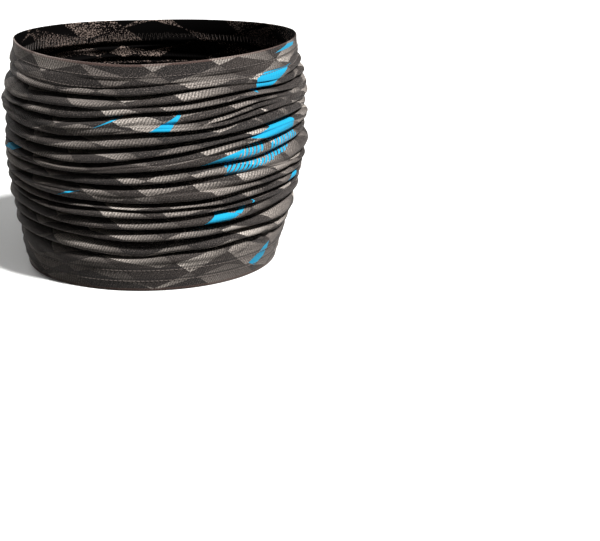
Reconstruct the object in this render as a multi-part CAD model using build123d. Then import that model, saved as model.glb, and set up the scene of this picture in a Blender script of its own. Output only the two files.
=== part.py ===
"""Neck gaiter: a printed knit tube pushed together into gathers between two turned-in hems.

Millimetres, +Z up, origin at the centre of the ring on which the gaiter stands.
"""
from build123d import *
import math
import os

# --- Driving dimensions ---------------------------------------------------------------------
hem_radius = 78.0          # outside of both hems, from a tube 245 mm wide when laid flat
gathered_height = 125.0    # as it stands, pushed together
finished_length = 480.0    # the same tube drawn out flat, hem edge to hem edge
cloth = 0.7                # one layer of knit
hem_depth = 15.0           # cloth turned in at each end
gather_count = 11
gather_clearance = 0.3     # air between one gather and the next
bulge = 7.5                # how far the middle gather stands out past the hems

needle_thread = 0.4        # diameter of the stitch thread
looper_thread = 0.3        # thickness of the thread that covers the inside of a hem
first_row = 6.75           # hem edge to the nearer stitch row
row_spacing = 6.4          # between the two needles of the hem stitch

seam_angle = 8.0           # where the side seam is, in degrees from +X
seam_width = 5.0           # seam allowance left inside the tube
seam_layers = 2
seam_wrap = 0.25           # overlock thread round the raw edge of the seam allowance
seam_clearance = 0.5       # air between the seam allowance and the inner folds

# --- Sizes that follow ----------------------------------------------------------------------
hem_thickness = 2 * cloth
hem_inner_radius = hem_radius - hem_thickness
gathers_bottom = hem_depth
gathers_top = gathered_height - hem_depth
pitch = (gathers_top - gathers_bottom) / gather_count
gather_height = pitch - gather_clearance
crest_radius = gather_height / 2
cloth_per_gather = (finished_length - 2 * hem_depth) / gather_count
leaf_length = (cloth_per_gather - math.pi * (crest_radius - cloth / 2)) / 2


def turned(outline):
    """The solid that an outline in the XZ plane sweeps when it turns once round Z."""
    return revolve(make_face(outline), Axis.Z)


def ring(inner_radius, outer_radius, bottom, top):
    """A plain ring with a rectangular section."""
    corners = [
        (inner_radius, 0, bottom),
        (outer_radius, 0, bottom),
        (outer_radius, 0, top),
        (inner_radius, 0, top),
    ]
    return turned(Polyline(*corners, close=True))


def gather_bottom(number):
    """Height of the underside of a gather, numbered from 1 at the bottom."""
    return gathers_bottom + (number - 1) * pitch + gather_clearance / 2


def crest_reach(number):
    """Radius of the outermost line of a gather."""
    height_share = (number - 0.5) / gather_count
    return hem_radius + bulge * math.sin(math.pi * height_share)


def inner_fold_radius(number):
    """Radius of the inner tips of a gather: the rest of its cloth, folded inwards."""
    return crest_reach(number) - crest_radius - leaf_length


def gather(number):
    """One fold of cloth: a lower leaf, a round crest and an upper leaf, open towards the inside."""
    tip = inner_fold_radius(number)
    turn = crest_reach(number) - crest_radius
    bottom = gather_bottom(number)
    middle = bottom + crest_radius
    top = bottom + gather_height
    outside = [
        Line((tip, 0, bottom), (turn, 0, bottom)),
        ThreePointArc((turn, 0, bottom), (turn + crest_radius, 0, middle), (turn, 0, top)),
        Line((turn, 0, top), (tip, 0, top)),
    ]
    inside = [
        Line((tip, 0, top - cloth), (turn, 0, top - cloth)),
        ThreePointArc(
            (turn, 0, top - cloth),
            (turn + crest_radius - cloth, 0, middle),
            (turn, 0, bottom + cloth),
        ),
        Line((turn, 0, bottom + cloth), (tip, 0, bottom + cloth)),
    ]
    ends = [
        Line((tip, 0, top), (tip, 0, top - cloth)),
        Line((tip, 0, bottom + cloth), (tip, 0, bottom)),
    ]
    return turned(outside + inside + ends)


def stitch_row(height):
    """The needle thread of one stitch row, half sunk in the outside of the hem."""
    return Pos(0, 0, height) * Torus(hem_radius, needle_thread / 2)


def looper_band(bottom, top):
    """The looper thread that joins two stitch rows, pressed flush into the inside of the hem."""
    return ring(hem_inner_radius, hem_inner_radius + looper_thread, bottom, top)


def seam_strip(tangential, radial_start, radial_end):
    """An upright bar inside the folds at the side seam, from one hem to the other."""
    depth = radial_end - radial_start
    height = gathers_top - gathers_bottom
    bar = Box(depth, tangential, height)
    at_seam = Rot(0, 0, seam_angle) * Pos(radial_start + depth / 2, 0, gathers_bottom + height / 2)
    return at_seam * bar


def hem_pieces(end, outer_edge, inwards):
    """A hem with the three threads that hold it. inwards is +1 or -1: the way from its edge to the gathers."""
    edge_row = outer_edge + inwards * first_row
    gather_row = edge_row + inwards * row_spacing
    row_heights = sorted([edge_row, gather_row])
    band_heights = sorted([outer_edge, outer_edge + inwards * hem_depth])
    threads = {
        f"{end}_hem_edge_stitch_row": stitch_row(edge_row),
        f"{end}_hem_inner_stitch_row": stitch_row(gather_row),
        f"{end}_hem_looper_thread": looper_band(*row_heights),
    }
    hem = ring(hem_inner_radius, hem_radius, *band_heights)
    for thread in threads.values():
        hem = hem - thread
    return {f"{end}_hem": hem, **threads}


pieces = {}
pieces.update(hem_pieces("bottom", 0.0, 1))
pieces.update(hem_pieces("top", gathered_height, -1))
for number in range(1, gather_count + 1):
    pieces[f"gather_{number:02d}"] = gather(number)

seam_outer = min(inner_fold_radius(n) for n in range(1, gather_count + 1)) - seam_clearance
allowance_outer = seam_outer - seam_wrap
allowance_inner = allowance_outer - seam_layers * cloth
seam_allowance = seam_strip(seam_width, allowance_inner, allowance_outer)
overlock = seam_strip(seam_width + 2 * seam_wrap, allowance_inner - seam_wrap, seam_outer)
pieces["side_seam_allowance"] = seam_allowance
pieces["side_seam_overlock_thread"] = overlock - seam_allowance

os.makedirs("parts", exist_ok=True)
for name, piece in pieces.items():
    piece.label = name
    export_step(piece, f"parts/{name}.step")
    print(f"{name:32s} {piece.volume:9.1f} mm3")
cloth_volume = sum(p.volume for n, p in pieces.items() if n.startswith("gather") or n.endswith("_hem"))
print(f"cloth of hems and gathers {cloth_volume:.0f} mm3")
print(f"inner folds from {seam_outer + seam_clearance:.1f} mm, leaf {leaf_length:.1f} mm, pitch {pitch:.2f} mm")
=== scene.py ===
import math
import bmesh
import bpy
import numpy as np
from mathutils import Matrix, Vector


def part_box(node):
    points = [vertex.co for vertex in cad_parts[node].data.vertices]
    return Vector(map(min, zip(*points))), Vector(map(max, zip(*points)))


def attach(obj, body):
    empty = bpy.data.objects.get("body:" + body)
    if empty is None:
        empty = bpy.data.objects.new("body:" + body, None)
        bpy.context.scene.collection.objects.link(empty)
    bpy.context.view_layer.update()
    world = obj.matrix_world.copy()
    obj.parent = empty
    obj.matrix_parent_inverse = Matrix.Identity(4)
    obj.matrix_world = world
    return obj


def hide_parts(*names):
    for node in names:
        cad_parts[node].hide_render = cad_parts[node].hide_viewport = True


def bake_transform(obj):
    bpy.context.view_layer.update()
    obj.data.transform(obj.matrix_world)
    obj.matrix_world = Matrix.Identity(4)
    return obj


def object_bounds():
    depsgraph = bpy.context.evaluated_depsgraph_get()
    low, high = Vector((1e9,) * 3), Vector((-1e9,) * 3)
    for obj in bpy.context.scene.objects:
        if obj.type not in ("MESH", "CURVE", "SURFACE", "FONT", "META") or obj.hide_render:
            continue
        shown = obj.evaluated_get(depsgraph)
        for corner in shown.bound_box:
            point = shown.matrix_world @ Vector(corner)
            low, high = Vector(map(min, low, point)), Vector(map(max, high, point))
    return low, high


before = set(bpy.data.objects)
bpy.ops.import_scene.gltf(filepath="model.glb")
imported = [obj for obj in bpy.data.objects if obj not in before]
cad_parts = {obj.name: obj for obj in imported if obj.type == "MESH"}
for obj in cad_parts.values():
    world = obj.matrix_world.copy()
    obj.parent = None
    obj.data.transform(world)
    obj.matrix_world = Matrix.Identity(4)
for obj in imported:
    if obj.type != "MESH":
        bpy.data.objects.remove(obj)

# %% [markdown]
# # A knit neck gaiter, pushed together
# The real piece is a tube of printed stretch knit, hemmed at both ends with a twin-needle machine. Pushed
# together, it stands as a pile of soft rolls with tight creases between them. This lesson builds the
# cloth in one piece, then the threads, then the finishes. The CAD model gives the sizes; its plain rings
# are replaced by the pieces made here.

MM = 0.001
cad_low, cad_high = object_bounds()
hem_low, hem_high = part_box("top_hem")
HEIGHT = cad_high.z / MM
HEM_DEPTH = (hem_high.z - hem_low.z) / MM
HEM_RADIUS = hem_high.x / MM
# the tube drawn out, hem edge to hem edge, in mm
FINISHED_LENGTH = 480.0
# where the side seam is, in degrees from +X
SEAM_ANGLE = 8.0
# upright lines of points in the cloth
COLUMNS = 180
RANDOM = np.random.default_rng(11)
print(f"gathered height {HEIGHT:.0f} mm, hems {HEM_DEPTH:.0f} mm deep and {2 * HEM_RADIUS:.0f} mm across")

# %% [markdown]
# ## Going round the tube
# Every line on the tube runs round it, so each is described by its value at a few stations, in degrees
# from +X, with the front at -90. `around` joins the stations and rounds the corners off. `ripple` makes a
# soft, closed random wave, which is how cloth wanders where nothing holds it. Lengths are in millimetres
# until a mesh is made.

# %% Values round the tube
angles = -180 + 360 * np.arange(COLUMNS) / COLUMNS
radians = np.radians(angles)


def soften(values, reach=3):
    """Round off a closed line of values, reach columns to either side."""
    steps = np.arange(-2 * reach, 2 * reach + 1)
    weights = np.exp(-((steps / reach) ** 2))
    shifted = [np.roll(values, step, axis=-1) * weight for step, weight in zip(steps, weights)]
    return sum(shifted) / weights.sum()


def around(stations):
    """A smooth closed line through {angle: value}."""
    known = sorted(stations)
    return soften(np.interp(angles, known, [stations[a] for a in known], period=360))


def ripple(size, slowest=1, waves=5):
    """A random closed wave of about this size."""
    total = np.zeros(COLUMNS)
    for wave in range(slowest, slowest + waves):
        sine, cosine = RANDOM.normal(size=2)
        total += (sine * np.sin(wave * radians) + cosine * np.cos(wave * radians)) / math.sqrt(wave)
    return size * total / total.std()


print(f"{COLUMNS} columns, {360 / COLUMNS:.0f} degrees apart")

# %% [markdown]
# ## Where the creases run
# The look of a pushed-together tube is in its creases: most go all the way round, some fade out, and some
# split off and join the next one. Each crease here has its height in millimetres at ten stations across
# the front, and a few depths, from 0 where the cloth runs smoothly past to 1 where two rolls press
# together. Round the back, heights carry on from the ends and wander. A cloth simulation from the flat
# tube would find creases of its own, but slowly and never these, so they are listed one by one.

# %% The creases
FRONT = (-150, -135, -120, -105, -90, -75, -60, -45, -30, -15)
BACK = (35, 75, 115, 155)
BACK_WANDER = 1.2
BACK_DEPTH, BACK_DEPTH_SPREAD = 0.7, 0.4
# the upper part hangs smooth at the back: heights in mm, and the most a crease is deep there
SMOOTH_FROM = (70, 95)
SMOOTH_DEPTH = (1.0, 0.15)
CREASES = [
    ((24, 23.2, 22, 20.5, 19.5, 22, 21.4, 24.3, 22.5, 21),
     {-170: 0.2, -150: 0.5, -130: 0.7, -110: 0.5, -90: 0.15, -72: 0.45, -45: 0.55, -33: 0.2, 0: 0.1}),
    ((33, 31.7, 30.3, 29, 28.3, 29.4, 29, 30, 29, 28),
     {-170: 0.3, -150: 0.7, -120: 0.9, -100: 0.7, -75: 0.9, -45: 0.9, -30: 0.6, 0: 0.3}),
    ((39.5, 37.4, 35.8, 35.1, 35, 35.8, 36.5, 36, 38.7, 41),
     {-170: 0.35, -150: 0.8, -120: 1, -75: 1, -30: 1, 0: 0.4}),
    ((46.5, 45.3, 42.6, 42.2, 42, 42.2, 43.8, 45.6, 46.2, 47),
     {-170: 0.2, -150: 0.5, -120: 0.9, -60: 0.9, -50: 0.6, -42: 0.15, -30: 0}),
    ((50.5, 48.7, 47.3, 47.8, 47.4, 48.4, 47, 47.8, 49.6, 50.5),
     {-170: 0.4, -150: 0.8, -120: 0.9, -105: 0.5, -90: 0.25, -75: 0.6, -60: 0.8, -30: 0.7, 0: 0.9}),
    ((55, 53.2, 51.5, 51, 50, 50.6, 51.8, 55, 55.7, 55),
     {-170: 0.3, -150: 0.7, -120: 0.9, -75: 0.9, -60: 0.9, -45: 0.6, -33: 0.35, -20: 0.1}),
    ((58, 57, 56.2, 56, 56, 56.5, 57.2, 58.3, 59.7, 59.5),
     {-150: 0, -60: 0, -45: 0.4, -30: 0.7, 0: 0.3}),
    ((61, 60.6, 60.2, 60.3, 60.8, 62.2, 65, 64.5, 64, 63),
     {-170: 0.9, -120: 1, -90: 1, -75: 0.8, -66: 0.5, -58: 0.1, -30: 0}),
    ((68, 67.2, 66.3, 66.7, 68.5, 69.6, 70.4, 70.2, 73.5, 74.5),
     {-170: 0.15, -150: 0.6, -120: 0.9, -75: 1, -60: 0.8, -45: 0.6, -30: 0.5, 0: 0.25}),
    ((70, 69, 68.5, 69.5, 72, 74, 77.5, 79.5, 80.3, 81),
     {-150: 0, -65: 0, -50: 0.4, -40: 0.7, -25: 0.7, -10: 0.5}),
    ((73, 71.3, 70.5, 72.2, 75.2, 77.9, 81.4, 83.2, 84.5, 85),
     {-170: 0.2, -150: 0.7, -120: 0.9, -60: 0.9, -50: 0.5, -42: 0, -15: 0}),
    ((79.5, 78.3, 77.8, 79, 81.3, 83.3, 85.4, 86.7, 87.6, 88),
     {-150: 0.9, -120: 1, -60: 1, -45: 0.8, -30: 0.7, 0: 0.9}),
    ((87.8, 85.6, 84.8, 87, 89.6, 90.2, 90.9, 93.4, 94.5, 93),
     {-150: 0.9, -60: 0.9, -45: 0.5, -30: 0.15, -15: 0.1}),
    ((90, 88, 87.5, 89.5, 91.5, 91.4, 92.8, 97, 97.2, 95.5),
     {-150: 0, -66: 0, -56: 0.5, -45: 0.45, -36: 0}),
    ((92, 90.5, 90, 92, 94, 93, 95.3, 100.3, 100, 98),
     {-150: 0, -82: 0, -70: 0.4, -58: 0.7, -48: 0.5, -40: 0.1, -30: 0}),
    ((95.8, 95.2, 94, 96.2, 99.5, 99.3, 101.3, 103.4, 102.5, 101),
     {-170: 0.2, -150: 0.6, -120: 0.9, -105: 0.7, -90: 0.9, -45: 0.85, -35: 0.5, -25: 0.2, -15: 0}),
    ((98.5, 100, 101, 101.5, 103.4, 103.6, 105.6, 106.6, 105.3, 106),
     {-170: 0.2, -150: 0.5, -120: 0.4, -105: 0.1, -95: 0, -85: 0.5, -70: 0.8, -45: 0.7, -20: 0.4, 0: 0.2}),
    ((108.5, 107, 106.5, 107, 108, 110, 111, 110, 109, 109.5),
     {-170: 0.5, -135: 1, -90: 0.9, -75: 0.55, -60: 0.15, -45: 0, -28: 0, -12: 0.4, 0: 0.8}),
    ((113, 112, 111.5, 111.8, 113.3, 114.3, 114.8, 114.5, 114, 113.5),
     {-150: 0.1, -120: 0, -105: 0.25, -90: 0.35, -75: 0.1, -60: 0}),
]


def crease_line(heights, depths):
    """The height and the depth of one crease all the way round."""
    stations = dict(zip(FRONT, heights))
    ends = stations[FRONT[-1]], stations[FRONT[0]]
    behind = {}
    for number, angle in enumerate(BACK, 1):
        share = number / (len(BACK) + 1)
        stations[angle] = ends[0] * (1 - share) + ends[1] * share + RANDOM.normal() * BACK_WANDER
        most = np.interp(stations[angle], SMOOTH_FROM, SMOOTH_DEPTH)
        behind[angle] = most * np.clip(RANDOM.normal(BACK_DEPTH, BACK_DEPTH_SPREAD), 0, 1)
    return around(stations), np.clip(around({**depths, **behind}), 0, 1)


lines = [crease_line(heights, depths) for heights, depths in CREASES]
crease_z = np.array([line[0] for line in lines])
crease_depth = np.array([line[1] for line in lines])
print(f"{len(CREASES)} creases, {crease_depth.sum(axis=0).mean():.1f} full ones round the tube on average")

# %% [markdown]
# ## One path up the cloth
# Cut the tube at any angle and the cloth is a path: the turned-in edge of the lower hem, its fold, rolls
# and creases in turn, the fold of the upper hem and its turned-in edge. A roll is half an ellipse, and a
# crease is a narrow V that runs inwards. All columns have the same number of points in each stretch, so
# the creases stay crisp in the mesh.

# %% Shape of the pile
# outermost radius at a few heights, and how far the pile leans to +X there
OUTLINE_Z = (0, 5, 12, 20, 30, 45, 66, 86, 100, 107, 114, 119, 125)
OUTLINE_R = (71.5, 73, 74.5, 76.4, 79, 82.4, 85.6, 85.4, 84.6, 83.5, 80.8, 79.2, 78.6)
LEAN_Z = (0, 12, 30, 60, 100, 125)
LEAN_X = (-4.4, -4.0, -2.4, -0.3, 0.3, 1.2)
# the rim rises and dips by these amounts, more and more from this height up
RIM = {-168: 3.2, -130: 0.5, -95: -1.2, -60: 0.8, -20: 2.6, 10: 3.0, 60: 0.5, 100: -0.5, 150: 1.5}
RIM_FROM = 60
# how finely the outline is sampled, and over how many samples it is smoothed
OUTLINE_SAMPLES = 251
OUTLINE_WINDOW = 25
# one layer of knit, and the distance between the two layers of a hem
CLOTH = 0.5
FOLD_GAP = 1.1
# where a hem's turned-in layer ends, measured from the fold
RAW_EDGE = 13.4
# half the width of a crease at its mouth: when it is shallow, and what full depth adds
MOUTH = (0.35, 0.95)
# how far a full crease runs in, how its reach falls with its depth, and how sharp the V is
CREASE_REACH = 16.5
CREASE_GROWTH = 1.5
CREASE_TAPER = 1.3
# how far a roll's edges drop back: at most, for each mm of its half height, and at least
ROLL_DROP = 5.0
ROLL_FULLNESS = 1.35
ROLL_EASE = 0.4
# how far a roll's crest hangs down, how uneven rolls are, and the least height of one
ROLL_SAG = 0.3
ROLL_UNEVEN = 0.55
LEAST_ROLL = 1.0
# the top of the upper hem, where no roll reaches
TOP_FLAT = 8.0
# points up each stretch of the path
ROLL_POINTS = 6
CREASE_POINTS = 6
HEM_POINTS = 8
TURN_POINTS = 5


def outline(z):
    """Radius of the outermost rolls at a height."""
    fine = np.linspace(0, HEIGHT, OUTLINE_SAMPLES)
    radius = np.interp(fine, OUTLINE_Z, OUTLINE_R)
    window = np.hanning(OUTLINE_WINDOW)
    padded = np.pad(radius, OUTLINE_WINDOW // 2, mode="edge")
    return np.interp(z, fine, np.convolve(padded, window / window.sum(), mode="valid"))


foot, middle, rim = outline(np.array([0, HEIGHT / 2, HEIGHT]))
print(f"radius {foot:.1f} mm at the foot, {middle:.1f} mm halfway up and {rim:.1f} mm at the rim")


# %% Keeping creases apart
# neighbours that are too close are pushed apart a little, this many times over
PUSHES = 60
PUSH_SHARE = 0.25
mouth = MOUTH[0] + MOUTH[1] * crease_depth
for _ in range(PUSHES):
    room = np.diff(crease_z, axis=0) - (mouth[1:] + mouth[:-1] + LEAST_ROLL)
    push = np.minimum(room, 0) * PUSH_SHARE
    crease_z[:-1] += push
    crease_z[1:] -= push

# the first and the last roll end on the hems, where there is no crease
level = np.ones(COLUMNS)
edges_z = np.vstack([HEM_DEPTH * level, crease_z, (HEIGHT - TOP_FLAT) * level])
edges_depth = np.pad(crease_depth, ((1, 1), (0, 0)))
edges_mouth = np.pad(mouth, ((1, 1), (0, 0)))
roll_lift = np.array([ripple(ROLL_UNEVEN, 2, 6) for _ in range(len(edges_z) - 1)])
print(f"rolls are {np.diff(edges_z, axis=0).mean():.1f} mm high on average")

# %% Rows of the path


def hem_path(inner_first):
    """Offsets of a turned-in hem: inner edge, down the inside, round the fold, up the outside."""
    down = np.linspace(RAW_EDGE, FOLD_GAP / 2, HEM_POINTS, endpoint=False)
    turn = np.linspace(0, math.pi, TURN_POINTS)
    up = np.linspace(FOLD_GAP / 2, HEM_DEPTH, HEM_POINTS + 1)[1:-1]
    inside = np.full(down.size, FOLD_GAP)
    inward = np.concatenate([inside, FOLD_GAP / 2 * (1 + np.cos(turn)), np.zeros(up.size)])
    along = np.concatenate([down, FOLD_GAP / 2 * (1 - np.sin(turn)), up])
    return (inward, along) if inner_first else (inward[::-1], along[::-1])


def roll_rows(number):
    """Radius and height of the points of one roll, from crease to crease."""
    low_z = edges_z[number] + edges_mouth[number]
    high_z = edges_z[number + 1] - edges_mouth[number + 1]
    half = (high_z - low_z) / 2
    rows = []
    for step in np.sin(np.linspace(-1, 1, ROLL_POINTS + 1) * math.pi / 2):
        z = low_z + half * (1 + step)
        side = np.sqrt(edges_depth[number] if step < 0 else edges_depth[number + 1])
        drop = np.minimum(ROLL_DROP, ROLL_FULLNESS * half + ROLL_EASE) * side
        round_part = 1 - math.sqrt(1 - step * step)
        soft_part = step * step
        radius = outline(z) + roll_lift[number] - drop * (side * round_part + (1 - side) * soft_part)
        sag = ROLL_SAG * half * side * (1 - step * step)
        rows.append((radius, z - sag))
    return rows


def crease_rows(number, below, above):
    """Radius and height of the points inside one crease, between the rolls' ends."""
    rows = []
    for step in np.linspace(-1, 1, CREASE_POINTS + 1)[1:-1]:
        share = (1 + step) / 2
        start = below[0] * (1 - share) + above[0] * share
        reach = CREASE_REACH * edges_depth[number] ** CREASE_GROWTH * (1 - abs(step) ** CREASE_TAPER)
        z = below[1] * (1 - share) + above[1] * share
        rows.append((start - reach, z))
    return rows


def cloth_rows():
    """Radius and height of all rows of the printed side, and where each crease starts and ends."""
    spans = []
    rows = [(outline(z * level) - inward, z * level) for inward, z in zip(*hem_path(True))]
    rolls = [roll_rows(number) for number in range(len(edges_z) - 1)]
    for number, roll in enumerate(rolls):
        if number:
            spans.append((len(rows) - 1, len(rows) - 1 + CREASE_POINTS))
            rows += crease_rows(number, rolls[number - 1][-1], roll[0])
        rows += roll
    for inward, below_rim in zip(*hem_path(False)):
        # the outside of the upper hem starts where the last roll ends
        if inward > 0 or below_rim < TOP_FLAT:
            z = (HEIGHT - below_rim) * level
            rows.append((outline(z) - inward, z))
    return np.array([row[0] for row in rows]), np.array([row[1] for row in rows]), spans


radius, height, crease_spans = cloth_rows()
print(f"{len(radius)} rows of {COLUMNS} points")

# %% [markdown]
# ## Two layers that lie together
# A hem's turned-in layer lies against the outer one, so wherever a roll dips, the layer behind it has to
# give way. Each point of the inner layer takes the smallest radius of the outer cloth just above and
# below it, less the gap. Then the rim gets its rise and dip, and the length of cloth up every column is
# measured.

# %% Inner layers and the rim
# how far above and below itself the inner layer feels the outer one, and how far in it may be pushed
HEM_REACH = (-1.2, -0.6, 0, 0.6, 1.2)
HEM_DIP = 7.0


def lay_inner_layer(turned_in, outside):
    """Move a hem's turned-in rows in, behind the rows outside them."""
    for column in range(COLUMNS):
        z = height[turned_in, column]
        near = [np.interp(z + shift, height[outside, column], radius[outside, column]) for shift in HEM_REACH]
        radius[turned_in, column] = np.maximum(np.min(near, axis=0), outline(z) - HEM_DIP) - FOLD_GAP


outside = slice(HEM_POINTS + TURN_POINTS, len(radius) - HEM_POINTS - TURN_POINTS)
lay_inner_layer(slice(0, HEM_POINTS), outside)
lay_inner_layer(slice(len(radius) - HEM_POINTS, len(radius)), outside)
lean = np.interp(height, LEAN_Z, LEAN_X)
height = height + around(RIM) * np.clip((height - RIM_FROM) / (HEIGHT - RIM_FROM), 0, 1) ** 2
steps = np.hypot(np.diff(radius, axis=0), np.diff(height, axis=0))
along_cloth = np.vstack([np.zeros(COLUMNS), np.cumsum(steps, axis=0)])
print(f"{along_cloth[-1].mean():.0f} mm of cloth from raw edge to raw edge")

# %% [markdown]
# ## Where the print lies
# Every column of a real tube holds the same length of cloth, so its print stays upright. The creases laid
# above are deeper on one side than on the other, so the print can't simply follow the path: it would
# shear. Instead, each crease takes up an amount of print that changes slowly round the tube, and all
# columns end with the same length.

# %% Print length up the cloth
# the print's length is evened out over this many columns to either side
SLOW = 22


def print_length():
    """Distance up the flat cloth of every point of the printed side, and what the creases take of it."""
    lengths = np.array([along_cloth[end] - along_cloth[start] for start, end in crease_spans])
    taken = soften(lengths, SLOW)
    rises = np.diff(along_cloth, axis=0)
    for start, end in crease_spans:
        rises[start:end] = 0
    # hems and rolls keep their own lengths, evened out round the tube; creases share what is left
    rises = soften(rises, SLOW)
    wanted = FINISHED_LENGTH + 2 * HEM_DEPTH - rises.sum(axis=0)
    taken = taken * wanted / taken.sum(axis=0)
    for (start, end), amount in zip(crease_spans, taken):
        rises[start:end] = amount / (end - start)
    return np.vstack([np.zeros(COLUMNS), np.cumsum(rises, axis=0)]), wanted.mean()


print_along, in_creases = print_length()
print(f"print length {print_along[-1].mean():.0f} mm, of which creases take {in_creases:.0f} mm")

# %% [markdown]
# ## Small wrinkles
# Between the creases a knit still has faint drag lines, a few millimetres apart, running nearly level.
# Long, low waves at slight slants are added to the radius, weaker in the hems, which two layers of cloth
# keep flat. A few short diagonal grooves follow, where the cloth is tugged from one roll to the next, and
# the side seam draws in a fine valley.

# %% Drag lines
MEAN_RADIUS = 80.0
MM_PER_DEGREE = math.pi / 180 * MEAN_RADIUS
# how many waves, how many mm apart, and how many mm high
FINE_DRAG = (7, 5.0, 0.22)
BROAD_DRAG = (5, 13.0, 0.4)
MOST_TURNS = 9
# wavelengths are between these shares of their spacing
DRAG_SPREAD = (0.7, 1.5)
# how freely a hem wrinkles, against 1 for the cloth between the hems
HEM_FREEDOM = 0.15
# how far from each edge a hem holds the cloth flat, and over how many mm it then gets free
HELD_BELOW, HELD_ABOVE, GETS_FREE = 10, 2, 12


def drag_lines(count, spacing, size):
    """A sum of slanted waves over the cloth, about size millimetres high."""
    total = np.zeros_like(radius)
    for _ in range(count):
        turns = RANDOM.integers(-MOST_TURNS, MOST_TURNS + 1)
        wavelength = spacing * RANDOM.uniform(*DRAG_SPREAD)
        phase = RANDOM.uniform(0, 2 * math.pi)
        total += np.sin(turns * radians + 2 * math.pi * height / wavelength + phase)
    # two slow slanted waves make it stronger in some patches than in others
    patch = 0.6 + 0.4 * np.sin(3 * radians + height / 9 + 1.0) * np.sin(5 * radians - height / 14)
    return size * patch * total / math.sqrt(count)


free_below = np.clip((height - HELD_BELOW) / GETS_FREE, HEM_FREEDOM, 1)
free_above = np.clip((HEIGHT - HELD_ABOVE - height) / GETS_FREE, HEM_FREEDOM, 1)
free = free_below * free_above
radius = radius + free * (drag_lines(*FINE_DRAG) + drag_lines(*BROAD_DRAG))
print(f"{FINE_DRAG[0] + BROAD_DRAG[0]} waves; radius from {radius.min():.1f} to {radius.max():.1f} mm")

# %% Tugs and the seam's valley
TUG_WIDTH = 1.5
# start and end in degrees and mm, and depth in mm
TUGS = [
    ((-48, 14), (-24, 31), 1.3), ((-36, 16), (-14, 34), 1.0), ((-62, 13), (-44, 22), 0.7),
    ((-30, 94), (-12, 112), 1.2), ((-20, 90), (-4, 106), 1.0), ((-36, 56), (-10, 66), 1.0),
    ((-152, 92), (-132, 104), 1.0), ((-160, 98), (-146, 110), 0.8), ((-150, 22), (-128, 13), 0.9),
    ((-135, 60), (-112, 65), 0.7), ((-100, 90), (-84, 97), 0.7), ((-75, 60), (-62, 66), 0.7),
]


def tug(start, end, depth):
    """A soft diagonal groove between two places, as where the cloth is pulled askew."""
    from_start = (angles - start[0] + 180) % 360 - 180
    across, up = from_start * MM_PER_DEGREE, height - start[1]
    run, rise = (end[0] - start[0]) * MM_PER_DEGREE, end[1] - start[1]
    length = math.hypot(run, rise)
    along = np.clip((across * run + up * rise) / length ** 2, 0, 1)
    away = np.hypot(across - along * run, up - along * rise)
    # deepest halfway, and nearly gone at both ends
    fading = np.sin(math.pi * (0.1 + 0.8 * along))
    return depth * np.exp(-((away / TUG_WIDTH) ** 2)) * fading


# the back gets tugs at random: how many, between which places, and how far and how deep each one goes
BACK_TUGS = 14
BACK_FROM, BACK_TO = (20, 20), (170, 105)
BACK_RISE, BACK_RUN, BACK_TUG_DEPTH = (-12, 12), (12, 25), (0.6, 1.3)
for place in RANDOM.uniform(BACK_FROM, BACK_TO, (BACK_TUGS, 2)):
    rise = RANDOM.uniform(*BACK_RISE)
    run = RANDOM.uniform(*BACK_RUN)
    TUGS.append((place, (place[0] + run, place[1] + rise), RANDOM.uniform(*BACK_TUG_DEPTH)))
for start, end, depth in TUGS:
    radius = radius - tug(start, end, depth)

SEAM_VALLEY = 0.7
SEAM_SPREAD = 1.6
from_seam = (angles - SEAM_ANGLE + 180) % 360 - 180
radius = radius - SEAM_VALLEY * np.exp(-((from_seam / SEAM_SPREAD) ** 2)) * free
print(f"{len(TUGS)} tugs; radius now from {radius.min():.1f} to {radius.max():.1f} mm")

# %% [markdown]
# ## From rows to a shell
# The printed side is the grid of rows. The wrong side is the same grid moved in by the thickness of the
# knit along its normals. Joined at the raw edges, they make one closed shell. Two maps go with it:
# `cloth` holds the place on the flat cloth, in metres, for the print and the knit, and `place` holds
# angle and height as the tube stands, for the few bright shards whose place matters.

# %% The knit tube
printed = np.stack([radius * np.cos(radians) + lean, radius * np.sin(radians), height], axis=-1)


def outward_normals(grid):
    """Normals of a closed-round grid, pointing to the printed side."""
    across = np.roll(grid, -1, axis=1) - np.roll(grid, 1, axis=1)
    # equal weight for the step below and the step above keeps the tip of a crease pointing straight in
    rises = np.diff(grid, axis=0)
    rises /= np.linalg.norm(rises, axis=-1, keepdims=True)
    up = np.concatenate([rises[:1], rises[:-1] + rises[1:], rises[-1:]])
    normal = np.cross(across, up)
    return normal / np.linalg.norm(normal, axis=-1, keepdims=True)


normals = outward_normals(printed)
wrong = printed - CLOTH * normals
# the shell runs up the printed side and back down the wrong side
shell = np.concatenate([printed, wrong[::-1]])
shell_along = np.concatenate([print_along, print_along[::-1]])
CUT_WIDTH = 2 * math.pi * HEM_RADIUS


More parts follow.
